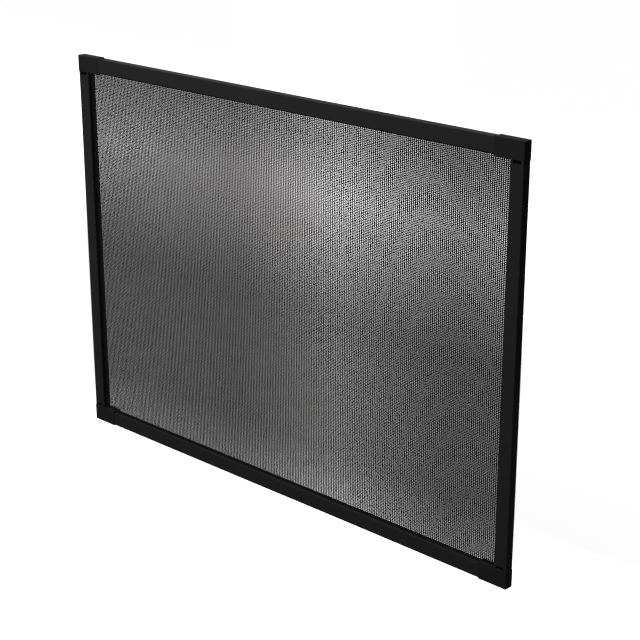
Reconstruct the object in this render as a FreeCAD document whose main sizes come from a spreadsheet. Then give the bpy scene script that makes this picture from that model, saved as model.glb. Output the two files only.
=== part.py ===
"""Framed insect screen for a window, standing upright.

Four hollow extruded lengths meet in rectangular corner keys. A groove in each length's inner wall
holds the edge of the woven mesh, wedged there by a ribbed spline.

Millimetres. X runs along the rails, Y from the front face to the back face, Z up. The origin is the
middle of the bottom edge, under the lowest faces of the corner blocks.
"""
import FreeCAD, Part
import math
import os
import re
import Sketcher

from FreeCAD import Placement, Rotation, Vector

SIZES = (
    # Frame, over the outer faces of the profiles
    ("frame_width", 798.0),
    ("frame_height", 570.0),
    # Profile section
    ("profile_width", 20.0),
    ("profile_depth", 12.7),
    ("wall_thickness", 1.0),
    ("front_radius", 0.5),
    ("back_radius", 0.6),
    # Spline groove in the inner wall, and the lip that narrows its mouth
    ("groove_front", 4.7),
    ("groove_depth", 6.5),
    ("lip_height", 0.4),
    ("lip_length", 1.2),
    # Notch in the front wall at each end of a stile
    ("notch_inset", 4.1),
    ("notch_width", 11.9),
    ("notch_height", 4.1),
    # Corner block, from the outer faces of the profiles
    ("block_length", 43.2),
    ("block_height", 22.9),
    ("proud_end", 1.1),
    ("proud_side", 0.4),
    ("proud_front", 0.6),
    ("block_radius", 0.5),
    # Barbed arms of the corner key
    ("arm_length", 34.0),
    ("arm_shoulder", 8.0),
    ("arm_taper", 1.0),
    ("barb_pitch", 5.0),
    ("barb_height", 0.5),
    ("barb_count", 4),
    ("key_wall", 1.8),
    ("key_clearance", 0.15),
    ("relief_depth", 4.0),
    # Mesh, with a coarse grid of openings for the fine gaps between its threads
    ("mesh_thickness", 1.1),
    ("mesh_tuck", 5.5),
    ("mesh_clearance", 0.05),
    ("opening_width", 18.0),
    ("opening_height", 18.0),
    ("opening_columns", 12),
    ("opening_rows", 8),
    # Spline
    ("spline_diameter", 3.2),
    ("spline_clearance", 0.1),
    ("spline_ribs", 10),
    ("rib_height", 0.25),
)
SIZE_OF = dict(SIZES)

# Places in the profile section, from its outer front corner
GROOVE_FLOOR = "(profile_width - groove_depth)"
GROOVE_BACK = "(groove_front + mesh_clearance + mesh_thickness + spline_diameter + 2 * spline_clearance)"
CHAMBER_END = "(profile_width - groove_depth - wall_thickness)"
MESH_FRONT = "(groove_front + mesh_clearance)"

# Places of the key's arms in the same section
ARM_OUTER = "(wall_thickness + key_clearance)"
ARM_INNER = "(profile_width - groove_depth - wall_thickness - key_clearance)"
ARM_DEPTH = "(profile_depth - 2 * wall_thickness - 2 * key_clearance)"

# Places in the whole frame
FRONT_FACE = "((proud_front - profile_depth) / 2)"
LEFT_FACE = "-frame_width / 2"
RIGHT_FACE = "frame_width / 2"
TOP_FACE = "proud_end + frame_height"
MID_HEIGHT = "proud_end + frame_height / 2"
RAIL_LENGTH = "(frame_width - 2 * block_length)"
STILE_LENGTH = "(frame_height - 2 * block_height)"
MESH_MARGIN = "(profile_width - mesh_tuck)"
MESH_WIDTH = f"(frame_width - 2 * {MESH_MARGIN})"
MESH_HEIGHT = f"(frame_height - 2 * {MESH_MARGIN})"

SIDES = {
    "bottom": {"base": ("0", FRONT_FACE, "proud_end"), "turn": -90, "length": RAIL_LENGTH},
    "top": {"base": ("0", FRONT_FACE, TOP_FACE), "turn": 90, "length": RAIL_LENGTH},
    "left": {"base": (LEFT_FACE, FRONT_FACE, MID_HEIGHT), "turn": 0, "length": STILE_LENGTH},
    "right": {"base": (RIGHT_FACE, FRONT_FACE, MID_HEIGHT), "turn": 180, "length": STILE_LENGTH},
}

CORNERS = {
    "bottom_left": {"base": (LEFT_FACE, FRONT_FACE, "proud_end"), "turn": 0, "hand": 1},
    "bottom_right": {"base": (RIGHT_FACE, FRONT_FACE, "proud_end"), "turn": 0, "hand": -1},
    "top_right": {"base": (RIGHT_FACE, FRONT_FACE, TOP_FACE), "turn": 180, "hand": 1},
    "top_left": {"base": (LEFT_FACE, FRONT_FACE, TOP_FACE), "turn": 180, "hand": -1},
}

doc = FreeCAD.newDocument("window_screen")


def make_sheet():
    """Spreadsheet of the driving dimensions, one named cell a row."""
    sheet = doc.addObject("Spreadsheet::Sheet", "Sizes")
    for row, (name, number) in enumerate(SIZES, start=1):
        sheet.set(f"A{row}", name)
        sheet.set(f"B{row}", str(number))
        sheet.setAlias(f"B{row}", name)
    doc.recompute()


def bound(text):
    """Expression in which every size names its cell of the sheet."""
    return re.sub(r"[a-z]+(?:_[a-z]+)+", lambda word: "Sizes." + word.group(0), text)


def put(piece, base, turn):
    """Places a piece: base is three expressions, turn its angle about the Y axis."""
    piece.Placement = Placement(Vector(), Rotation(Vector(0, 1, 0), turn))
    for axis, text in zip("xyz", base):
        piece.setExpression(f"Placement.Base.{axis}", bound(text))


def sketch_on(body, name, plane, offset=None):
    """Sketch on one of the body's own origin planes, moved along its normal by offset."""
    sketch = body.newObject("Sketcher::SketchObject", name)
    support = next(item for item in body.Origin.OriginFeatures if item.Role == plane)
    sketch.AttachmentSupport = [(support, "")]
    sketch.MapMode = "FlatFace"
    if offset:
        sketch.setExpression("AttachmentOffset.Base.z", bound(offset))
    return sketch


def pin_point(sketch, line, place):
    """Fixes the start of a line at a place given as two expressions from the sketch's origin."""
    for text, direction, axis in zip(place, ("DistanceX", "DistanceY"), (-2, -1)):
        if text == "0":
            sketch.addConstraint(Sketcher.Constraint("PointOnObject", line, 1, axis))
        else:
            index = sketch.addConstraint(Sketcher.Constraint(direction, -1, 1, line, 1, 1.0))
            sketch.setExpression(f"Constraints[{index}]", bound(text))


def outline(sketch, places):
    """Closed run of lines through places, each given as two expressions from the sketch's origin."""
    first = sketch.GeometryCount
    count = len(places)
    starts = [Vector(index, index % 3, 0) for index in range(count)]
    for index in range(count):
        sketch.addGeometry(Part.LineSegment(starts[index], starts[(index + 1) % count]), False)
    for index in range(count):
        following = first + (index + 1) % count
        sketch.addConstraint(Sketcher.Constraint("Coincident", first + index, 2, following, 1))
    for index, place in enumerate(places):
        pin_point(sketch, first + index, place)


def rectangle(sketch, low, high):
    """Rectangle between two corners, each given as two expressions."""
    outline(sketch, [low, (high[0], low[1]), high, (low[0], high[1])])


def volume_of(feature):
    """Volume of the body up to this feature."""
    doc.recompute()
    return feature.Shape.Volume


def pad(body, sketch, length, symmetric=False, backwards=False):
    """Extrusion of a sketch along its normal."""
    feature = body.newObject("PartDesign::Pad", sketch.Name + "_pad")
    feature.Profile = sketch
    feature.SideType = "Symmetric" if symmetric else "One side"
    feature.Reversed = backwards
    feature.setExpression("Length", bound(length))
    return feature


def pocket(body, sketch, depth):
    """Cut from a sketch against its normal. It has to take material away."""
    before = volume_of(body.Tip)
    feature = body.newObject("PartDesign::Pocket", sketch.Name + "_pocket")
    feature.Profile = sketch
    feature.setExpression("Length", bound(depth))
    if volume_of(feature) >= before:
        raise RuntimeError(f"{feature.Name} cuts nothing")
    return feature


def round_edges(body, name, radius, wanted):
    """Fillet of the edges of the body's tip for which wanted is true."""
    doc.recompute()
    base = body.Tip
    edges = [f"Edge{index}" for index, edge in enumerate(base.Shape.Edges, start=1) if wanted(edge)]
    if not edges:
        raise RuntimeError(f"{name} finds no edge")
    feature = body.newObject("PartDesign::Fillet", name)
    feature.Base = (base, edges)
    feature.setExpression("Radius", bound(radius))
    return feature


def all_at(edge, axis, level):
    """True when both ends of an edge lie at this level along an axis."""
    return all(abs(vertex.Point[axis] - level) < 1e-6 for vertex in edge.Vertexes)


def along_at(places):
    """Test for a profile's long edges at these places in its section."""
    return lambda edge: any(all_at(edge, 0, across) and all_at(edge, 1, depth) for across, depth in places)


def profile_length(label, side, notched):
    """One length of the extruded profile: x from its outer face inward, y from its front face back."""
    body = doc.addObject("PartDesign::Body", label)
    section = sketch_on(body, label + "_section", "XY_Plane")
    lip_top = GROOVE_BACK + " - lip_height"
    lip_start = "profile_width - lip_length"
    outline(section, [
        ("0", "0"),
        ("profile_width", "0"),
        ("profile_width", "groove_front"),
        (GROOVE_FLOOR, "groove_front"),
        (GROOVE_FLOOR, GROOVE_BACK),
        (lip_start, GROOVE_BACK),
        (lip_start, lip_top),
        ("profile_width", lip_top),
        ("profile_width", "profile_depth"),
        ("0", "profile_depth"),
    ])
    inner_wall = "profile_width - wall_thickness"
    above_groove = "groove_front - wall_thickness"
    under_groove = GROOVE_BACK + " + wall_thickness"
    outline(section, [
        ("wall_thickness", "wall_thickness"),
        (inner_wall, "wall_thickness"),
        (inner_wall, above_groove),
        (CHAMBER_END, above_groove),
        (CHAMBER_END, under_groove),
        (inner_wall, under_groove),
        (inner_wall, "profile_depth - wall_thickness"),
        ("wall_thickness", "profile_depth - wall_thickness"),
    ])
    pad(body, section, side["length"], symmetric=True)
    width, depth = SIZE_OF["profile_width"], SIZE_OF["profile_depth"]
    front_corners = along_at([(0, 0), (width, 0)])
    back_corners = along_at([(0, depth), (width, depth)])
    round_edges(body, label + "_front_edges", "front_radius", front_corners)
    round_edges(body, label + "_back_edges", "back_radius", back_corners)
    if notched:
        cut_notches(body, label, side["length"])
    put(body, side["base"], side["turn"])
    return body


def cut_notches(body, label, length):
    """Notch in the front wall at both ends, open to the end face and to the hollow."""
    sketch = sketch_on(body, label + "_notches", "XZ_Plane")
    far_side = "notch_inset + notch_width"
    end = length + " / 2"
    rectangle(sketch, ("notch_inset", f"{end} - notch_height"), (far_side, end))
    rectangle(sketch, ("notch_inset", f"-{end}"), (far_side, f"notch_height - {end}"))
    pocket(body, sketch, "2 * wall_thickness")


def arm_places(start):
    """Corners of an arm, as (along, across) expressions: a shoulder, a row of barbs and a tapered tip."""
    barbs = SIZE_OF["barb_count"]
    teeth = [f"{start} + arm_shoulder + {index} * barb_pitch" for index in range(barbs + 1)]
    low_valley = ARM_OUTER + " + barb_height"
    high_valley = ARM_INNER + " - barb_height"
    low_side = [(start, ARM_OUTER), (teeth[0], ARM_OUTER)]
    high_side = [(start, ARM_INNER), (teeth[0], ARM_INNER)]
    for tooth in teeth[1:-1]:
        low_side += [(tooth, low_valley), (tooth, ARM_OUTER)]
        high_side += [(tooth, high_valley), (tooth, ARM_INNER)]
    tip = start + " + arm_length"
    low_side += [(teeth[-1], low_valley), (tip, low_valley + " + arm_taper")]
    high_side += [(teeth[-1], high_valley), (tip, high_valley + " - arm_taper")]
    return low_side + high_side[::-1]


def corner_key(label, corner):
    """Moulded corner key: x and z from the outer faces of the profiles inward, y from their front back."""
    body = doc.addObject("PartDesign::Body", label)
    mirrored = "-" if corner["hand"] < 0 else ""

    def across(text):
        return f"{mirrored}({text})"

    block = sketch_on(body, label + "_block", "XZ_Plane", "proud_front")
    rectangle(block, (across("-proud_side"), "-proud_end"), (across("block_length"), "block_height"))
    pad(body, block, "profile_depth + proud_front", backwards=True)
    front = -SIZE_OF["proud_front"]
    round_edges(body, label + "_block_edges", "block_radius", lambda edge: all_at(edge, 1, front))

    arms = sketch_on(body, label + "_arms", "XZ_Plane", "-" + ARM_OUTER)
    outline(arms, [(across(along), over) for along, over in arm_places("block_length")])
    outline(arms, [(across(over), along) for along, over in arm_places("block_height")])
    pad(body, arms, ARM_DEPTH, backwards=True)

    cores = sketch_on(body, label + "_cores", "XZ_Plane", "-" + ARM_OUTER)
    core_low = ARM_OUTER + " + barb_height + key_wall"
    core_high = ARM_INNER + " - barb_height - key_wall"
    rail_core_end = "block_length + arm_length - key_wall"
    stile_core_end = "block_height + arm_length - key_wall"
    rectangle(cores, (across("block_length"), core_low), (across(rail_core_end), core_high))
    rectangle(cores, (across(core_low), "block_height"), (across(core_high), stile_core_end))
    pocket(body, cores, ARM_DEPTH + " - key_wall")

    relief = sketch_on(body, label + "_relief", "XZ_Plane", "-" + ARM_OUTER)
    relief_end = "block_height + notch_height"
    rectangle(relief, (across("0"), "block_height"), (across("profile_width"), relief_end))
    pocket(body, relief, "relief_depth")

    kerf = sketch_on(body, label + "_kerf", "XZ_Plane", "-groove_front")
    kerf_start = "profile_width - mesh_tuck - key_clearance"
    kerf_end = ("block_length + wall_thickness", "block_height + wall_thickness")
    rectangle(kerf, (across(kerf_start), kerf_start), (across(kerf_end[0]), kerf_end[1]))
    pocket(body, kerf, "mesh_thickness + 2 * mesh_clearance")
    put(body, corner["base"], corner["turn"])
    return body


def spline(label, side):
    """Ribbed rubber cord, in the same axes as the profile whose groove it fills."""
    body = doc.addObject("PartDesign::Body", label)
    section = sketch_on(body, label + "_section", "XY_Plane")
    centre_across = GROOVE_FLOOR + " + spline_clearance + spline_diameter / 2"
    centre_depth = MESH_FRONT + " + mesh_thickness + spline_clearance + spline_diameter / 2"
    corners = 2 * SIZE_OF["spline_ribs"]
    places = []
    for index in range(corners):
        angle = 2 * math.pi * index / corners
        radius = "spline_diameter / 2" if index % 2 == 0 else "(spline_diameter / 2 - rib_height)"
        places.append((
            f"{centre_across} + {math.cos(angle):.9f} * {radius}",
            f"{centre_depth} + {math.sin(angle):.9f} * {radius}",
        ))
    outline(section, places)
    pad(body, section, side["length"], symmetric=True)
    put(body, side["base"], side["turn"])
    return body


def grid(body, cut, columns, rows, steps):
    """Repeats a cut of the body in columns and rows, at these steps across and up."""
    feature = body.newObject("PartDesign::LinearPattern", cut.Name + "_grid")
    feature.Originals = [cut]
    feature.Direction = (cut.Profile[0], ["H_Axis"])
    feature.Direction2 = (cut.Profile[0], ["V_Axis"])
    feature.setExpression("Occurrences", bound(columns))
    feature.setExpression("Occurrences2", bound(rows))
    feature.setExpression("Length", bound(f"{steps[0]} * ({columns} - 1)"))
    feature.setExpression("Length2", bound(f"{steps[1]} * ({rows} - 1)"))
    body.Tip = feature
    if volume_of(feature) >= cut.Shape.Volume:
        raise RuntimeError(f"{feature.Name} cuts nothing")
    return feature


def insect_mesh():
    """Flat sheet of woven mesh, its edges tucked into the grooves, with a plain grid of openings."""
    body = doc.addObject("PartDesign::Body", "insect_mesh")
    sheet = sketch_on(body, "insect_mesh_sheet", "XZ_Plane")
    rectangle(sheet, ("0", "0"), (MESH_WIDTH, MESH_HEIGHT))
    pad(body, sheet, "mesh_thickness", backwards=True)

    opening = sketch_on(body, "insect_mesh_opening", "XZ_Plane")
    steps = (f"{MESH_WIDTH} / opening_columns", f"{MESH_HEIGHT} / opening_rows")
    low = (f"({steps[0]} - opening_width) / 2", f"({steps[1]} - opening_height) / 2")
    high = (f"({steps[0]} + opening_width) / 2", f"({steps[1]} + opening_height) / 2")
    rectangle(opening, low, high)
    cut = pocket(body, opening, "mesh_thickness")
    grid(body, cut, "opening_columns", "opening_rows", steps)
    base = (f"{LEFT_FACE} + {MESH_MARGIN}", f"{FRONT_FACE} + {MESH_FRONT}", f"proud_end + {MESH_MARGIN}")
    put(body, base, 0)
    return body


def check_and_write(pieces):
    """Stops on any failed object or unsound shape, then writes one STEP file a piece."""
    doc.recompute()
    for item in doc.Objects:
        if {"Invalid", "Error"} & set(item.State):
            raise RuntimeError(f"{item.Name} is {item.State}")
    for piece in pieces:
        if piece.Shape.isNull() or not piece.Shape.isValid() or len(piece.Shape.Solids) != 1:
            raise RuntimeError(f"{piece.Label} has no sound single solid")
    os.makedirs("parts", exist_ok=True)
    for piece in pieces:
        piece.Shape.exportStep(f"parts/{piece.Label}.step")


def main():
    """Builds every piece of the screen and writes it."""
    make_sheet()
    pieces = [
        profile_length("bottom_rail", SIDES["bottom"], notched=False),
        profile_length("top_rail", SIDES["top"], notched=False),
        profile_length("left_stile", SIDES["left"], notched=True),
        profile_length("right_stile", SIDES["right"], notched=True),
    ]
    pieces += [corner_key(name + "_key", corner) for name, corner in CORNERS.items()]
    pieces += [spline(name + "_spline", side) for name, side in SIDES.items()]
    pieces.append(insect_mesh())
    check_and_write(pieces)


main()
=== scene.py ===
"""Looks of a framed window screen: coated lengths, moulded corner keys, rubber spline and woven mesh.

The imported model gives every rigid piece. The mesh is woven here, thread by thread, in the place of its
plain solid. Lengths are in metres, in the model's own frame: X along the sill, -Y the front, Z up.
"""
import math

import bpy
import numpy as np
from bpy.props import FloatProperty, FloatVectorProperty, PointerProperty
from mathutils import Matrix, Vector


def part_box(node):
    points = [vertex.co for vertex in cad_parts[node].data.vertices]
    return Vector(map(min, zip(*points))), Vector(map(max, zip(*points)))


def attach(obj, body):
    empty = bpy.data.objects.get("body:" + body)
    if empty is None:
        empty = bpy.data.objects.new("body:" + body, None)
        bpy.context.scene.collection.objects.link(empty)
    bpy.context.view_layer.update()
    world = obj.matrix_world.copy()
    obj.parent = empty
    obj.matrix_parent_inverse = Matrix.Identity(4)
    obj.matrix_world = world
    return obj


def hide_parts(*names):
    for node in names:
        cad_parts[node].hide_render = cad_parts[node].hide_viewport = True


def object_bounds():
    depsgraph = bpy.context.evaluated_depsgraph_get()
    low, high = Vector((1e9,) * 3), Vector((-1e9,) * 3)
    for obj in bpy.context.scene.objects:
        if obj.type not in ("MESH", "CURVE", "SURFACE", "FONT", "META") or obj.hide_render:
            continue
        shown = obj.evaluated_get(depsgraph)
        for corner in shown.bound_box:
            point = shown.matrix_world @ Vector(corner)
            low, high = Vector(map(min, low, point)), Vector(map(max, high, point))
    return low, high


bl_info = {
    "name": "Window Screen",
    "version": (1, 0, 0),
    "blender": (4, 5, 0),
    "location": "View3D > Sidebar > Screen",
    "description": "Weaves the mesh of a framed window screen and finishes its frame",
    "category": "Object",
}

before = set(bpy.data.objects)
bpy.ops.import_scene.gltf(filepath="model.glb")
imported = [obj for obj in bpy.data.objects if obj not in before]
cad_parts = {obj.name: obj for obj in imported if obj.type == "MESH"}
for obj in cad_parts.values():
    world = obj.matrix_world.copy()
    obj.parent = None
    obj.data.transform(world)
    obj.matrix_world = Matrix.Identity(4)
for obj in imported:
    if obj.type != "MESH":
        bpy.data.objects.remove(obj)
cad_low, cad_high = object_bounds()

PROFILES = ("bottom_rail", "top_rail", "left_stile", "right_stile")
KEYS = ("bottom_left_key", "bottom_right_key", "top_left_key", "top_right_key")
SPLINES = ("bottom_spline", "top_spline", "left_spline", "right_spline")
MESH_NODE = "insect_mesh"
MESH_LOW, MESH_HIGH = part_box(MESH_NODE)
UPRIGHT_LOTS = ("left", "middle", "right")
LEVEL_LOTS = ("bottom", "middle", "top")
RIGHT = np.array([1.0, 0.0, 0.0])
DOWN = np.array([0.0, 0.0, -1.0])
FRONT = np.array([0.0, -1.0, 0.0])

# Noise stays mostly between these
NOISE_LOW = 0.3
NOISE_HIGH = 0.7

# Camera, where the photograph was taken: its place, its angles in degrees, its lens in millimetres
CAMERA_PLACE = (1.43866, -1.45348, 0.98783)
CAMERA_PITCH = 70.384
CAMERA_YAW = 43.155
CAMERA_LENS = 89.87

# Lamps, and the point that they shine at
LIT_POINT = (0.0, 0.0, 0.3)
KEY_PLACE = (-0.2, -1.0, 1.25)
BACK_PLACE = (0.2, 1.5, 0.35)
OVERHEAD_PLACE = (-0.6, -0.8, 2.3)
OVERHEAD_ANGLE = 30.0
# A sun of this strength shows a white surface that faces it as 1
SUN_FOR_WHITE = math.pi

# Floor: half its side, and its gap under the screen
FLOOR_HALF = 14.0
FLOOR_GAP = 0.0002
# Its paleness as it lights the screen, and as it is seen
FLOOR_LIGHTING = 0.2
FLOOR_SEEN = 1.0
# The share of it that is seen white whatever light falls there
WHITE_SHARE = 0.95

# Painted pools of light on the floor, cast by no lamp: a beam that fans out from its start, and two
# bands across it
BEAM_START = (1.439, -1.453)
BEAM_SLOPE = 0.916
BEAM_REACH = 0.13
BEAM_GAIN = 0.34
FAR_BAND = 0.4576
NEAR_BAND = -0.066
BAND_REACH = 0.162
BAND_GAIN = 0.62
POOL_POWER = 2.3


class WeaveSettings(bpy.types.PropertyGroup):
    """Sizes of the woven mesh."""

    upright_pitch: FloatProperty(
        name="Upright pitch", description="Distance between upright threads",
        default=0.00313, min=0.0005, unit="LENGTH", precision=5)
    level_pitch: FloatProperty(
        name="Level pitch", description="Distance between level threads",
        default=0.002217, min=0.0005, unit="LENGTH", precision=6)
    upright_width: FloatProperty(
        name="Upright width", description="Width of an upright thread, seen from the front",
        default=0.00229, min=0.0001, unit="LENGTH", precision=5)
    level_width: FloatProperty(
        name="Level width", description="Height of a level thread, seen from the front",
        default=0.001665, min=0.0001, unit="LENGTH", precision=6)
    thread_depth: FloatProperty(
        name="Thread depth", description="Thickness of a thread from front to back",
        default=0.0005, min=0.0001, unit="LENGTH", precision=5)


class FinishSettings(bpy.types.PropertyGroup):
    """Colours of the finishes."""

    coating: FloatVectorProperty(
        name="Powder coat", description="Colour of the coated lengths",
        default=(0.0084, 0.0084, 0.0087), subtype="COLOR", min=0.0, max=1.0)
    plastic: FloatVectorProperty(
        name="Key plastic", description="Colour of the corner keys",
        default=(0.0070, 0.0070, 0.0073), subtype="COLOR", min=0.0, max=1.0)
    rubber: FloatVectorProperty(
        name="Spline rubber", description="Colour of the spline",
        default=(0.012, 0.012, 0.012), subtype="COLOR", min=0.0, max=1.0)
    yarn: FloatVectorProperty(
        name="Mesh yarn", description="Colour of the mesh threads",
        default=(0.004, 0.004, 0.004), subtype="COLOR", min=0.0, max=1.0)


class StageSettings(bpy.types.PropertyGroup):
    """Light on the stage."""

    key_power: FloatProperty(
        name="Key lamp", description="Power of the soft lamp high in front",
        default=31.0, min=0.0, unit="POWER")
    back_power: FloatProperty(
        name="Back lamp", description="Power of the soft lamp behind",
        default=16.0, min=0.0, unit="POWER")
    lamp_size: FloatProperty(
        name="Lamp size", description="Side of both soft lamps",
        default=0.6, min=0.01, unit="LENGTH")
    overhead: FloatProperty(
        name="Overhead light", description="Strength of the broad light from above",
        default=0.9, min=0.0)
    surroundings: FloatProperty(
        name="Surroundings", description="Strength of the even light from all round",
        default=0.03, min=0.0)


class ScreenSettings(bpy.types.PropertyGroup):
    """What a user may change."""

    weave: PointerProperty(type=WeaveSettings)
    finish: PointerProperty(type=FinishSettings)
    stage: PointerProperty(type=StageSettings)


def thread_tubes(centres, across, width, depth):
    """Closed tubes of a four-cornered section, one along each row of centres (threads, rings, 3).

    A ring's corners lie half a width to each side of its centre, along across, and half a depth before
    and behind it. Returns the corner points and the quads.
    """
    corners = np.array([across * width / 2, FRONT * depth / 2, -across * width / 2, -FRONT * depth / 2])
    points = centres[:, :, None, :] + corners[None, None, :, :]
    threads, rings = centres.shape[:2]
    number = np.arange(threads * rings * 4).reshape(threads, rings, 4)
    following = np.roll(number, -1, axis=2)
    sides = np.stack([number[:, :-1], number[:, 1:], following[:, 1:], following[:, :-1]], axis=-1)
    ends = np.stack([number[:, 0, :], number[:, -1, ::-1]], axis=1)
    return points.reshape(-1, 3), np.concatenate([sides.reshape(-1, 4), ends.reshape(-1, 4)])


def add_quads(name, points, quads):
    """A smooth mesh object at the origin from corner points and quads."""
    mesh = bpy.data.meshes.new(name)
    mesh.vertices.add(len(points))
    mesh.vertices.foreach_set("co", points.astype(np.float32).ravel())
    mesh.loops.add(quads.size)
    mesh.loops.foreach_set("vertex_index", quads.astype(np.int32).ravel())
    mesh.polygons.add(len(quads))
    mesh.polygons.foreach_set("loop_start", np.arange(0, quads.size, 4, dtype=np.int32))
    mesh.update(calc_edges=True)
    mesh.shade_smooth()
    piece = bpy.data.objects.new(name, mesh)
    bpy.context.scene.collection.objects.link(piece)
    return piece


def evenly(low, high, pitch):
    """Middles of the equal steps, as near to the pitch as fits, from low to high."""
    count = round((high - low) / pitch)
    return low + (np.arange(count) + 0.5) * (high - low) / count


def plain_weave(uprights, levels, sway):
    """Centre lines of a plain weave's threads, upright ones and level ones, each as (threads, rings, 3).

    Where upright thread i crosses level thread j, an even i + j puts the upright one the sway to the
    front and the level one as much to the back, and an odd i + j the other way round. Between two
    crossings a thread runs straight. All end at the mesh's edges, at mid-depth.
    """
    middle = (MESH_LOW.y + MESH_HIGH.y) / 2
    parity = np.add.outer(np.arange(len(uprights)), np.arange(len(levels))) % 2
    upright_y = middle + np.where(parity == 0, -sway, sway)
    z_rings = np.concatenate([[MESH_LOW.z], levels, [MESH_HIGH.z]])
    x_rings = np.concatenate([[MESH_LOW.x], uprights, [MESH_HIGH.x]])
    standing = np.full((len(uprights), len(z_rings), 3), middle)
    standing[:, :, 0] = uprights[:, None]
    standing[:, 1:-1, 1] = upright_y
    standing[:, :, 2] = z_rings
    lying = np.full((len(levels), len(x_rings), 3), middle)
    lying[:, :, 0] = x_rings
    lying[:, 1:-1, 1] = 2 * middle - upright_y.T
    lying[:, :, 2] = levels[:, None]
    return standing, lying


def new_material(name):
    """A material with its nodes, links and main shader."""
    material = bpy.data.materials.new(name)
    material.use_nodes = True
    tree = material.node_tree
    return material, tree.nodes, tree.links, tree.nodes["Principled BSDF"]


def noise(nodes, links, scale, detail):
    """Noise on the object's own coordinates, scale in features a metre."""
    place = nodes.new("ShaderNodeTexCoord")
    texture = nodes.new("ShaderNodeTexNoise")
    texture.inputs["Scale"].default_value = scale
    texture.inputs["Detail"].default_value = detail
    links.new(place.outputs["Object"], texture.inputs["Vector"])
    return texture.outputs["Fac"]


def between(nodes, links, value, low, high):
    """A noise value, its usual range spread over low to high."""
    spread = nodes.new("ShaderNodeMapRange")
    spread.inputs["From Min"].default_value = NOISE_LOW
    spread.inputs["From Max"].default_value = NOISE_HIGH
    spread.inputs["To Min"].default_value = low
    spread.inputs["To Max"].default_value = high
    links.new(value, spread.inputs["Value"])
    return spread.outputs["Result"]


def tinted(nodes, links, value, colour, low, high):
    """The colour, made low to high times as bright by the value."""
    mix = nodes.new("ShaderNodeMix")
    mix.data_type = "RGBA"
    mix.inputs["A"].default_value = (*[low * part for part in colour], 1.0)
    mix.inputs["B"].default_value = (*[high * part for part in colour], 1.0)
    links.new(value, mix.inputs["Factor"])
    return mix.outputs["Result"]


def bumped(nodes, links, shader, value, strength, distance):
    """A bump of the given height in metres on the shader."""
    bump = nodes.new("ShaderNodeBump")
    bump.inputs["Strength"].default_value = strength
    bump.inputs["Distance"].default_value = distance
    links.new(value, bump.inputs["Height"])
    links.new(bump.outputs["Normal"], shader.inputs["Normal"])


def powder_coat(colour):
    """Satin black coating: a shallow orange peel, slight clouds in its colour and gloss."""
    material, nodes, links, shader = new_material("powder_coat")
    peel = noise(nodes, links, scale=900.0, detail=2.0)
    clouds = noise(nodes, links, scale=9.0, detail=3.0)
    links.new(tinted(nodes, links, clouds, colour, low=0.85, high=1.15), shader.inputs["Base Color"])
    links.new(between(nodes, links, clouds, low=0.33, high=0.41), shader.inputs["Roughness"])
    shader.inputs["Specular IOR Level"].default_value = 0.005
    bumped(nodes, links, shader, peel, strength=0.25, distance=0.00004)
    return material


def key_plastic(colour):
    """Matt moulded plastic with a fine spark-eroded grain."""
    material, nodes, links, shader = new_material("key_plastic")
    grain = noise(nodes, links, scale=2600.0, detail=2.0)
    clouds = noise(nodes, links, scale=20.0, detail=2.0)
    links.new(tinted(nodes, links, clouds, colour, low=0.9, high=1.1), shader.inputs["Base Color"])
    links.new(between(nodes, links, grain, low=0.40, high=0.50), shader.inputs["Roughness"])
    shader.inputs["Specular IOR Level"].default_value = 0.005
    bumped(nodes, links, shader, grain, strength=0.35, distance=0.00003)
    return material


def spline_rubber(colour):
    """Dull extruded rubber with faint scuffs."""
    material, nodes, links, shader = new_material("spline_rubber")
    scuffs = noise(nodes, links, scale=400.0, detail=4.0)
    links.new(tinted(nodes, links, scuffs, colour, low=0.8, high=1.3), shader.inputs["Base Color"])
    links.new(between(nodes, links, scuffs, low=0.62, high=0.8), shader.inputs["Roughness"])
    shader.inputs["Specular IOR Level"].default_value = 0.2
    bumped(nodes, links, shader, scuffs, strength=0.3, distance=0.00004)
    return material


def coated_yarn(colour):
    """Plastic-coated yarn, a little uneven along each thread."""
    material, nodes, links, shader = new_material("coated_yarn")
    uneven = noise(nodes, links, scale=700.0, detail=2.0)
    links.new(tinted(nodes, links, uneven, colour, low=0.8, high=1.2), shader.inputs["Base Color"])
    links.new(between(nodes, links, uneven, low=0.42, high=0.5), shader.inputs["Roughness"])
    shader.inputs["Specular IOR Level"].default_value = 0.03
    return material


def finish(names, material):
    """Gives every material slot of these nodes the finish."""
    for name in names:
        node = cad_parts[name]
        if not node.material_slots:
            node.data.materials.append(material)
        for slot in node.material_slots:
            slot.material = material


def add_camera(scene):
    """The camera at the photograph's place and angle."""
    camera = bpy.data.objects.new("camera", bpy.data.cameras.new("camera"))
    camera.data.lens = CAMERA_LENS
    camera.location = CAMERA_PLACE
    camera.rotation_euler = (math.radians(CAMERA_PITCH), 0.0, math.radians(CAMERA_YAW))
    scene.collection.objects.link(camera)
    scene.camera = camera


def aim(lamp, target):
    """Turns a lamp so that it shines at the target."""
    away = np.array(lamp.location) - np.array(target)
    level = math.hypot(away[0], away[1])
    lamp.rotation_euler = (math.atan2(level, away[2]), 0.0, math.atan2(away[0], -away[1]))


def add_lamp(scene, name, kind, place, strength):
    """A lamp of the given kind, place and strength, turned to the lit point."""
    lamp = bpy.data.objects.new(name, bpy.data.lights.new(name, kind))
    lamp.location = place
    lamp.data.energy = strength
    aim(lamp, LIT_POINT)
    scene.collection.objects.link(lamp)
    return lamp


def feed(links, socket, value):
    """Sets a socket to a number, or links another socket to it."""
    if isinstance(value, float):
        socket.default_value = value
    else:
        links.new(value, socket)


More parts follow.
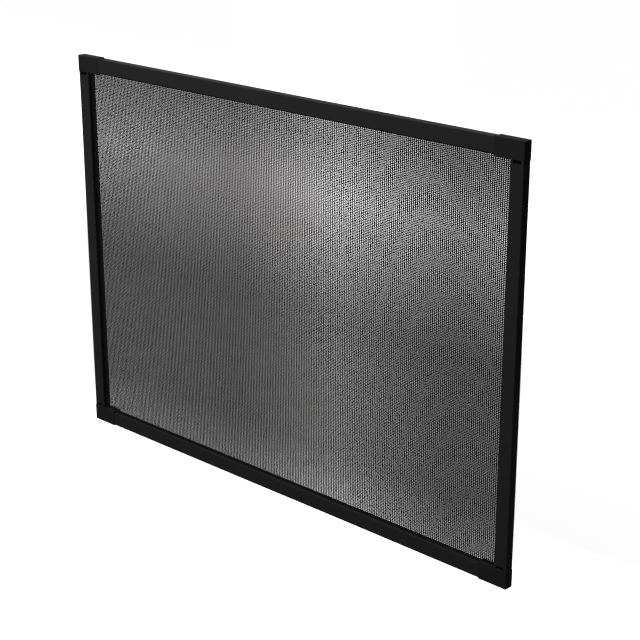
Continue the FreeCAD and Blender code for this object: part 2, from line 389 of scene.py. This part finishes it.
def calculate(nodes, links, operation, first, second):
    """The result of a Math node on two values, each a socket or a number."""
    node = nodes.new("ShaderNodeMath")
    node.operation = operation
    feed(links, node.inputs[0], first)
    feed(links, node.inputs[1], second)
    return node.outputs[0]


def switched(nodes, links, switch, off, on):
    """The number off where the switch is 0, and on, a number or a socket, where it is 1."""
    choice = nodes.new("ShaderNodeMapRange")
    choice.inputs["To Min"].default_value = off
    feed(links, choice.inputs["To Max"], on)
    links.new(switch, choice.inputs["Value"])
    return choice.outputs["Result"]


def seen_directly(nodes, links):
    """1 for the rays that show the background: from the camera, mirrored or let through. Otherwise 0."""
    rays = nodes.new("ShaderNodeLightPath").outputs
    shown = calculate(nodes, links, "MAXIMUM", rays["Is Camera Ray"], rays["Is Glossy Ray"])
    return calculate(nodes, links, "MAXIMUM", shown, rays["Is Transmission Ray"])


def soft_strip(nodes, links, value, middle, reach):
    """1 where the value is at the middle, falling evenly to 0 at the reach on both sides of it.

    The stretch from one reach to the other is spread over 0 to 2, and what is past 1 is folded back.
    """
    span = nodes.new("ShaderNodeMapRange")
    span.inputs["From Min"].default_value = middle - reach
    span.inputs["From Max"].default_value = middle + reach
    span.inputs["To Max"].default_value = 2.0
    links.new(value, span.inputs["Value"])
    return calculate(nodes, links, "PINGPONG", span.outputs["Result"], 1.0)


def raised(nodes, links, value, gain):
    """1, and the gain more where the value is 1."""
    return calculate(nodes, links, "ADD", calculate(nodes, links, "MULTIPLY", value, gain), 1.0)


def painted_light_pools(nodes, links):
    """Brightness of the floor's glow: 1, and more in the painted pools of light behind the screen.

    The beam's middle goes its slope to the left for each metre back from its start. A band's middle
    is where a point's Y is the given share of its way back from that start. The brightness is the
    beam's factor times the bands' factor, to a power.
    """
    place = nodes.new("ShaderNodeTexCoord")
    parts = nodes.new("ShaderNodeSeparateXYZ")
    links.new(place.outputs["Object"], parts.inputs[0])
    start_x, start_y = BEAM_START
    back = calculate(nodes, links, "SUBTRACT", parts.outputs["Y"], start_y)
    aside = calculate(nodes, links, "SUBTRACT", start_x, parts.outputs["X"])
    slope = calculate(nodes, links, "DIVIDE", aside, back)
    share = calculate(nodes, links, "DIVIDE", parts.outputs["Y"], back)
    beam = soft_strip(nodes, links, slope, BEAM_SLOPE, BEAM_REACH)
    far = soft_strip(nodes, links, share, FAR_BAND, BAND_REACH)
    near = soft_strip(nodes, links, share, NEAR_BAND, BAND_REACH)
    bands = calculate(nodes, links, "ADD", far, near)
    beam_factor = raised(nodes, links, beam, BEAM_GAIN)
    band_factor = raised(nodes, links, bands, BAND_GAIN)
    both = calculate(nodes, links, "MULTIPLY", beam_factor, band_factor)
    return calculate(nodes, links, "POWER", both, POOL_POWER)


def pale_floor():
    """Pale finish that is seen as white, and a little greyer in the screen's shadow.

    Only rays straight from the camera see the painted pools of light, so the pools light nothing and no
    gloss shows them.
    """
    material, nodes, links, shader = new_material("pale_floor")
    shader.inputs["Roughness"].default_value = 1.0
    shader.inputs["Specular IOR Level"].default_value = 0.0
    seen = seen_directly(nodes, links)
    links.new(switched(nodes, links, seen, FLOOR_LIGHTING, FLOOR_SEEN), shader.inputs["Base Color"])
    from_camera = nodes.new("ShaderNodeLightPath").outputs["Is Camera Ray"]
    white = nodes.new("ShaderNodeEmission")
    # The glow's strength: plain white, brighter in the painted pools of light for rays from the camera
    strength = switched(nodes, links, from_camera, 1.0, painted_light_pools(nodes, links))
    links.new(strength, white.inputs["Strength"])
    mix = nodes.new("ShaderNodeMixShader")
    links.new(calculate(nodes, links, "MULTIPLY", seen, WHITE_SHARE), mix.inputs["Fac"])
    links.new(shader.outputs["BSDF"], mix.inputs[1])
    links.new(white.outputs["Emission"], mix.inputs[2])
    links.new(mix.outputs["Shader"], nodes["Material Output"].inputs["Surface"])
    return material


def add_floor(scene):
    """A wide flat floor just under the screen."""
    height = cad_low.z - FLOOR_GAP
    corners = [(-FLOOR_HALF, -FLOOR_HALF, height), (FLOOR_HALF, -FLOOR_HALF, height),
               (FLOOR_HALF, FLOOR_HALF, height), (-FLOOR_HALF, FLOOR_HALF, height)]
    mesh = bpy.data.meshes.new("floor")
    mesh.from_pydata(corners, [], [(0, 1, 2, 3)])
    mesh.materials.append(pale_floor())
    floor = bpy.data.objects.new("floor", mesh)
    scene.collection.objects.link(floor)


def add_world(scene, strength):
    """Even light from all round, shown as plain white."""
    world = bpy.data.worlds.new("studio")
    world.use_nodes = True
    scene.world = world
    nodes, links = world.node_tree.nodes, world.node_tree.links
    background = nodes["Background"]
    background.inputs["Color"].default_value = (1.0, 1.0, 1.0, 1.0)
    level = switched(nodes, links, seen_directly(nodes, links), strength, 1.0)
    links.new(level, background.inputs["Strength"])


class WINDOW_SCREEN_OT_set_stage(bpy.types.Operator):
    """Set up the camera, floor, lamps and surroundings"""

    bl_idname = "window_screen.set_stage"
    bl_label = "Set Stage"

    def execute(self, context):
        scene = context.scene
        stage = scene.window_screen.stage
        add_camera(scene)
        add_floor(scene)
        add_world(scene, stage.surroundings)
        soft_lamps = (add_lamp(scene, "key_lamp", "AREA", KEY_PLACE, stage.key_power),
                      add_lamp(scene, "back_lamp", "AREA", BACK_PLACE, stage.back_power))
        for lamp in soft_lamps:
            lamp.data.size = stage.lamp_size
            lamp.visible_camera = False
        sun_strength = stage.overhead * SUN_FOR_WHITE
        overhead = add_lamp(scene, "overhead_light", "SUN", OVERHEAD_PLACE, sun_strength)
        overhead.data.angle = math.radians(OVERHEAD_ANGLE)
        scene.view_settings.view_transform = "Standard"
        return {"FINISHED"}


class WINDOW_SCREEN_OT_coat_profiles(bpy.types.Operator):
    """Powder-coat the four lengths"""

    bl_idname = "window_screen.coat_profiles"
    bl_label = "Coat Lengths"

    def execute(self, context):
        finish(PROFILES, powder_coat(context.scene.window_screen.finish.coating))
        return {"FINISHED"}


class WINDOW_SCREEN_OT_mould_keys(bpy.types.Operator):
    """Give the four corner keys their moulded plastic"""

    bl_idname = "window_screen.mould_keys"
    bl_label = "Mould Keys"

    def execute(self, context):
        finish(KEYS, key_plastic(context.scene.window_screen.finish.plastic))
        return {"FINISHED"}


class WINDOW_SCREEN_OT_extrude_splines(bpy.types.Operator):
    """Give the four runs of spline their rubber"""

    bl_idname = "window_screen.extrude_splines"
    bl_label = "Extrude Splines"

    def execute(self, context):
        finish(SPLINES, spline_rubber(context.scene.window_screen.finish.rubber))
        return {"FINISHED"}


class WINDOW_SCREEN_OT_weave_mesh(bpy.types.Operator):
    """Weave the mesh, in the place of its plain solid"""

    bl_idname = "window_screen.weave_mesh"
    bl_label = "Weave Mesh"

    def execute(self, context):
        settings = context.scene.window_screen
        sizes = settings.weave
        uprights = evenly(MESH_LOW.x, MESH_HIGH.x, sizes.upright_pitch)
        levels = evenly(MESH_LOW.z, MESH_HIGH.z, sizes.level_pitch)
        standing, lying = plain_weave(uprights, levels, sizes.thread_depth / 2)
        yarn = coated_yarn(settings.finish.yarn)
        lots = (("upright", UPRIGHT_LOTS, standing, RIGHT, sizes.upright_width),
                ("level", LEVEL_LOTS, lying, DOWN, sizes.level_width))
        for kind, places, centres, across, width in lots:
            for place, threads in zip(places, np.array_split(centres, len(places))):
                tubes = thread_tubes(threads, across, width, sizes.thread_depth)
                piece = add_quads(f"{kind}_threads_{place}", *tubes)
                piece.data.materials.append(yarn)
                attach(piece, "root")
                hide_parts(MESH_NODE)
        return {"FINISHED"}


OPERATORS = (WINDOW_SCREEN_OT_set_stage, WINDOW_SCREEN_OT_coat_profiles, WINDOW_SCREEN_OT_mould_keys,
             WINDOW_SCREEN_OT_extrude_splines, WINDOW_SCREEN_OT_weave_mesh)


class VIEW3D_PT_window_screen(bpy.types.Panel):
    """Sidebar panel with the screen's settings and steps"""

    bl_label = "Window Screen"
    bl_idname = "VIEW3D_PT_window_screen"
    bl_space_type = "VIEW_3D"
    bl_region_type = "UI"
    bl_category = "Screen"

    def draw(self, context):
        settings = context.scene.window_screen
        for group in (settings.weave, settings.finish, settings.stage):
            box = self.layout.box()
            for name in group.__annotations__:
                box.prop(group, name)
        for operator in OPERATORS:
            self.layout.operator(operator.bl_idname)


CLASSES = (WeaveSettings, FinishSettings, StageSettings, ScreenSettings, *OPERATORS,
           VIEW3D_PT_window_screen)


def register():
    """Registers the classes and adds the settings to the scene."""
    for item in CLASSES:
        bpy.utils.register_class(item)
    bpy.types.Scene.window_screen = PointerProperty(type=ScreenSettings)


def unregister():
    """Takes the settings and the classes away again."""
    del bpy.types.Scene.window_screen
    for item in reversed(CLASSES):
        bpy.utils.unregister_class(item)


def main():
    """Dresses the screen."""
    register()
    bpy.ops.window_screen.set_stage()
    bpy.ops.window_screen.coat_profiles()
    bpy.ops.window_screen.mould_keys()
    bpy.ops.window_screen.extrude_splines()
    bpy.ops.window_screen.weave_mesh()


if __name__ == "__main__":
    main()
